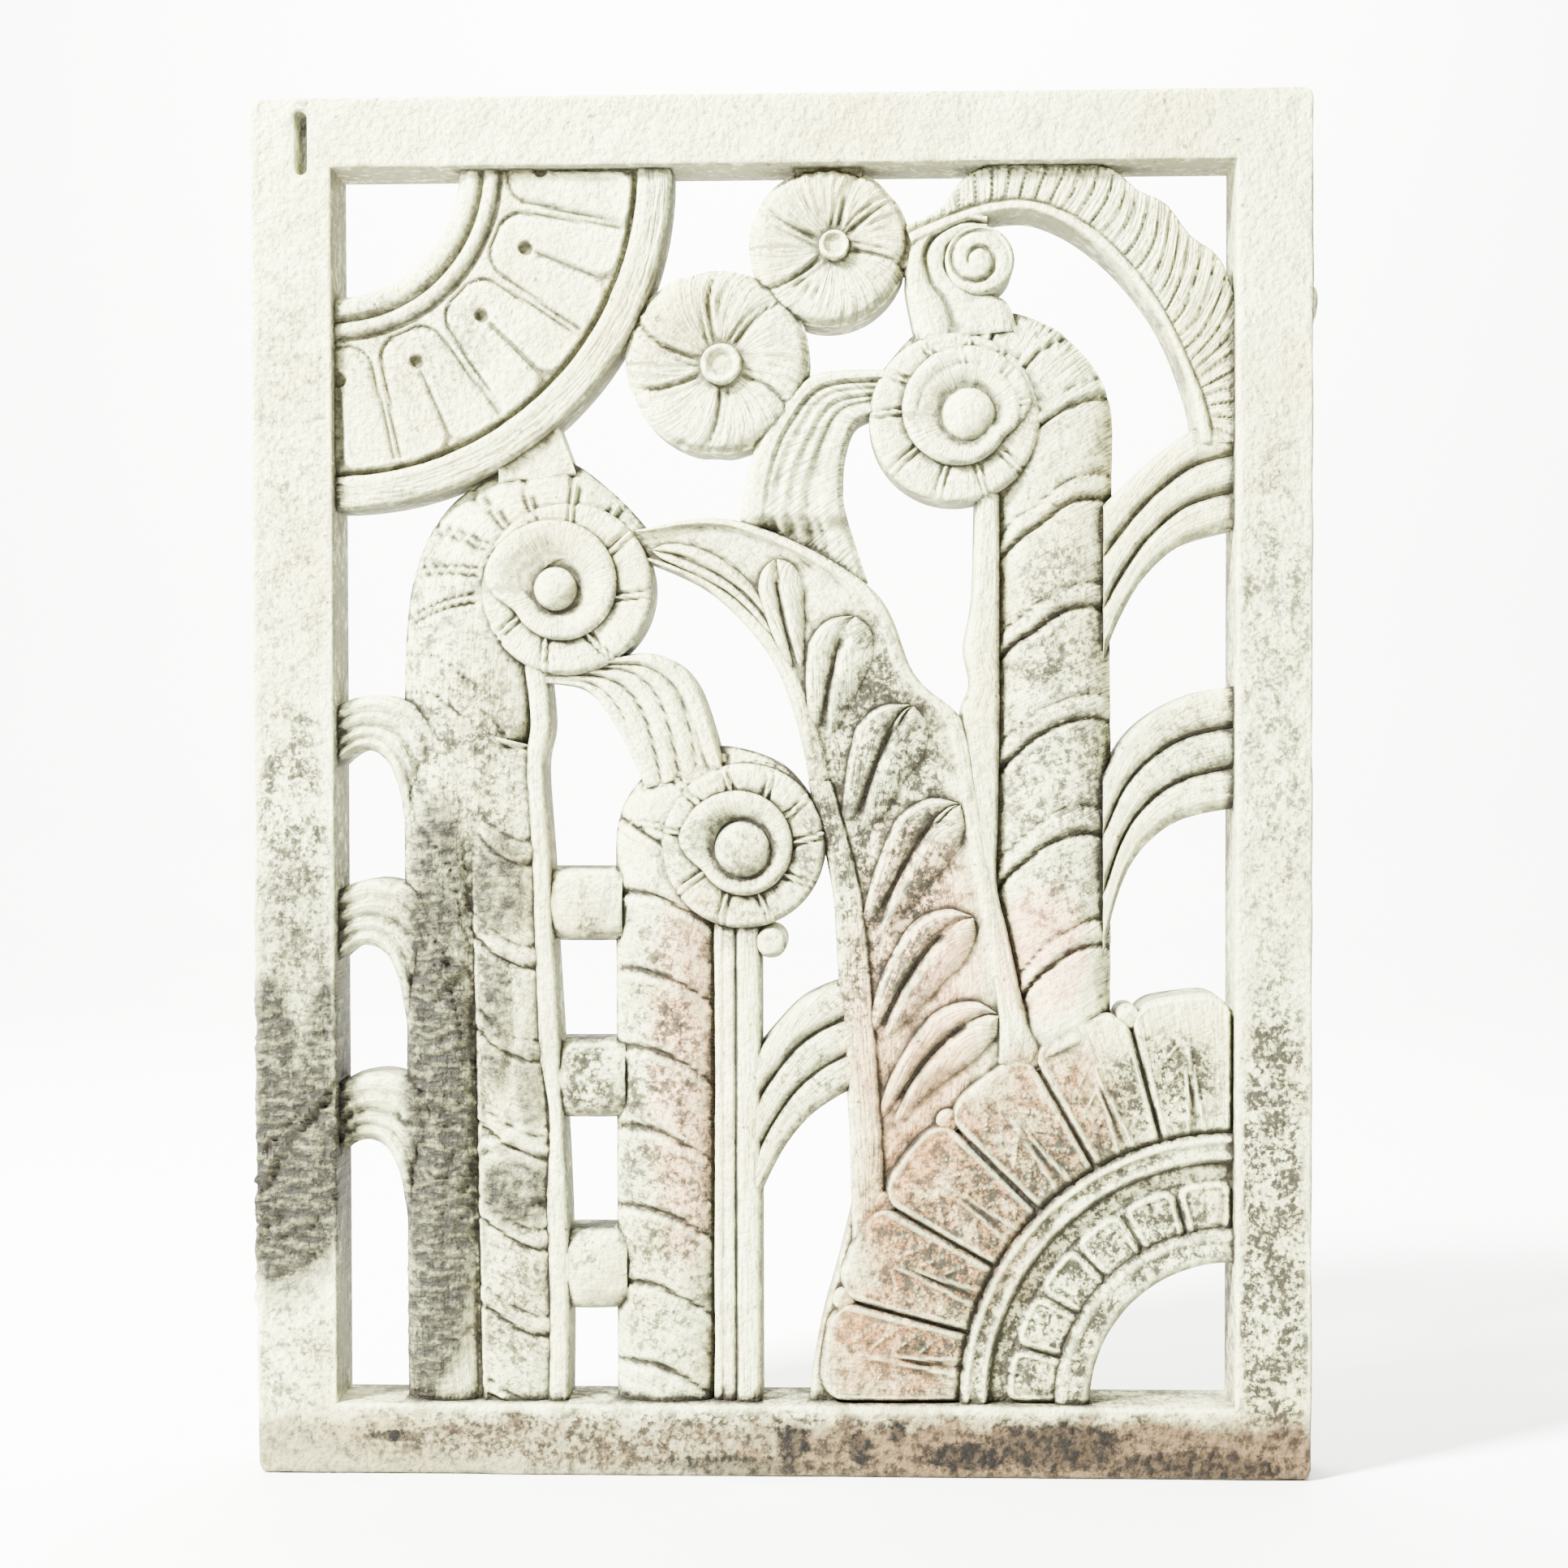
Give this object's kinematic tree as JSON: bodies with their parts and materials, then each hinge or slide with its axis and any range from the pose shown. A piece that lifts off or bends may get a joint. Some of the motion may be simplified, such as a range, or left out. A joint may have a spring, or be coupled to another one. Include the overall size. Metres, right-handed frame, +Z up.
{
  "type": "cast concrete openwork panel",
  "caption": "Rectangular cast concrete panel pierced with stylised plant ornament: scroll columns, leaves, flowers, a sun and a fan inside a plain frame.",
  "frame": {"origin": "middle of the underside, at mid thickness", "axes": "+Z up, -Y towards the carved front, +X to the right as seen from the front"},
  "size_m": [0.766, 0.05, 1],
  "materials": {
    "concrete": "weathered cast concrete"
  },
  "bodies": {
    "root": {"cast_panel": "concrete"}
  },
  "joints": []
}
